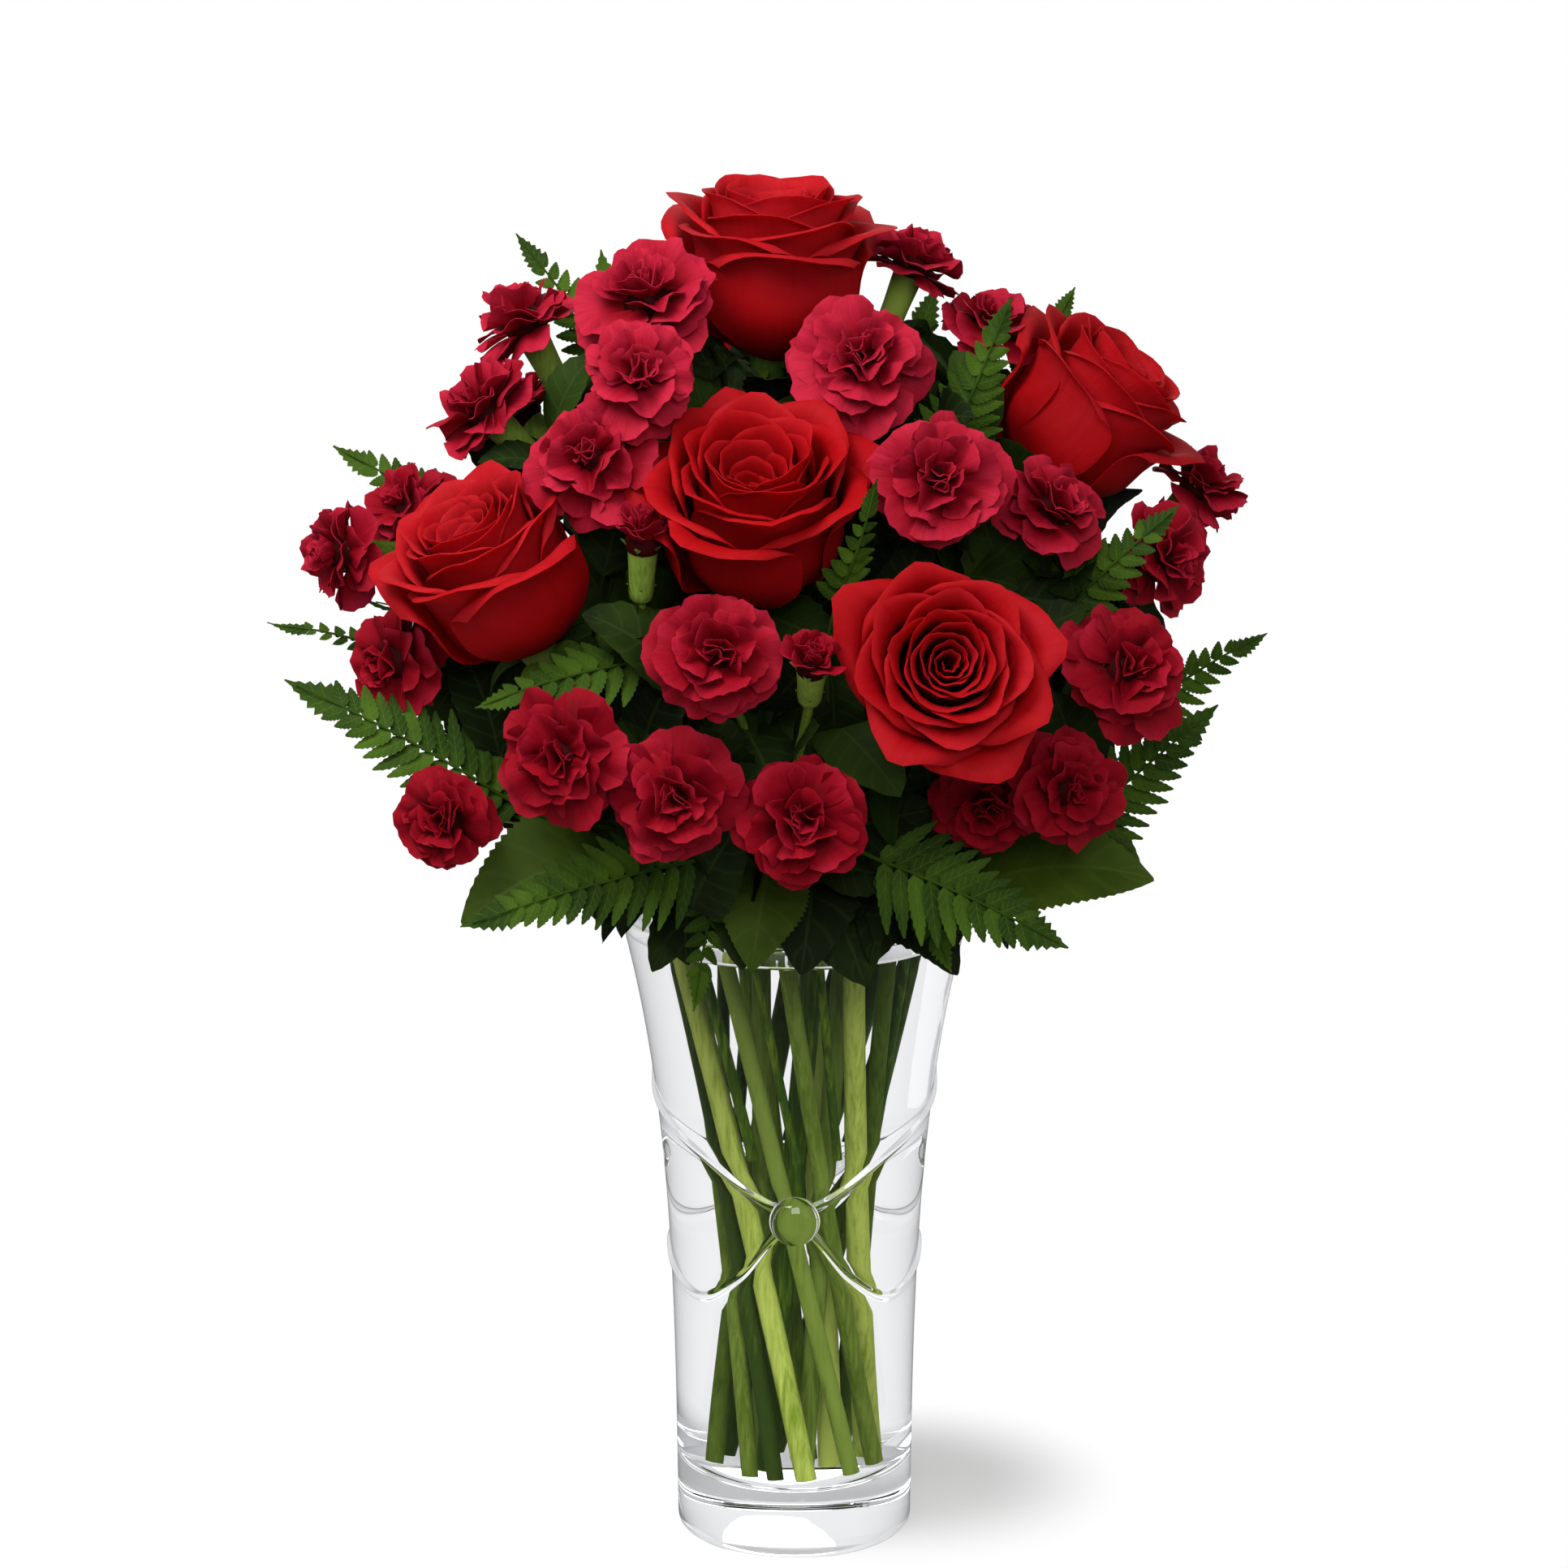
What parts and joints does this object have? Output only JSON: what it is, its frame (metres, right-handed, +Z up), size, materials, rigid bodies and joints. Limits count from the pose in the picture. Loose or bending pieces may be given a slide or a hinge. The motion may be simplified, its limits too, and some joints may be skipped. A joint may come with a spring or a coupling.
{
  "type": "carnations in a vase",
  "caption": "Round bouquet of spray carnations and roses with fern and salal leaves, standing in water in a flared clear glass vase with raised waves and beads.",
  "frame": {"origin": "middle of the vase's flat foot, on the surface it stands on", "axes": "+Z up along the vase's axis; -Y is the front of the bouquet, where one of the two beads is"},
  "size_m": [0.303, 0.2488, 0.4325],
  "materials": {
    "glass": "gloss",
    "water": "gloss",
    "stem": "satin",
    "rose_petal": "satin",
    "calyx": "satin",
    "carnation_petal": "matte",
    "fern": "satin",
    "salal": "satin"
  },
  "bodies": {
    "root": {"vase": "glass", "water": "water", "rose_top_stem": "stem", "rose_top_bloom": "rose_petal", "rose_right_stem": "stem", "rose_right_bloom": "rose_petal", "rose_middle_stem": "stem", "rose_middle_bloom": "rose_petal", "rose_left_stem": "stem", "rose_left_bloom": "rose_petal", "rose_front_stem": "stem", "rose_front_bloom": "rose_petal", "rose_back_stem": "stem", "rose_back_bloom": "rose_petal", "spray_upper_left": "calyx", "spray_upper_middle": "calyx", "spray_left": "calyx", "spray_lower_left": "calyx", "spray_lower_middle": "calyx", "spray_lower_right": "calyx", "spray_right": "calyx", "spray_upper_right": "calyx", "spray_back": "calyx", "carnation_01": "carnation_petal", "carnation_02": "carnation_petal", "carnation_03": "carnation_petal", "carnation_04": "carnation_petal", "carnation_05": "carnation_petal", "carnation_06": "carnation_petal", "carnation_07": "carnation_petal", "carnation_08": "carnation_petal", "carnation_09": "carnation_petal", "carnation_10": "carnation_petal", "carnation_11": "carnation_petal", "carnation_12": "carnation_petal", "carnation_13": "carnation_petal", "carnation_14": "carnation_petal", "carnation_15": "carnation_petal", "carnation_16": "carnation_petal", "carnation_17": "carnation_petal", "carnation_18": "carnation_petal", "carnation_19": "carnation_petal", "carnation_20": "carnation_petal", "carnation_21": "carnation_petal", "carnation_22": "carnation_petal", "carnation_23": "carnation_petal", "carnation_24": "carnation_petal", "carnation_25": "carnation_petal", "carnation_26": "carnation_petal", "carnation_27": "carnation_petal", "carnation_28": "carnation_petal", "carnation_29": "carnation_petal", "fern_lower_left": "fern", "fern_left": "fern", "fern_lower_right": "fern", "fern_right": "fern", "fern_top_right": "fern", "fern_back": "fern", "salal_left": "salal", "salal_right": "salal"}
  },
  "joints": []
}
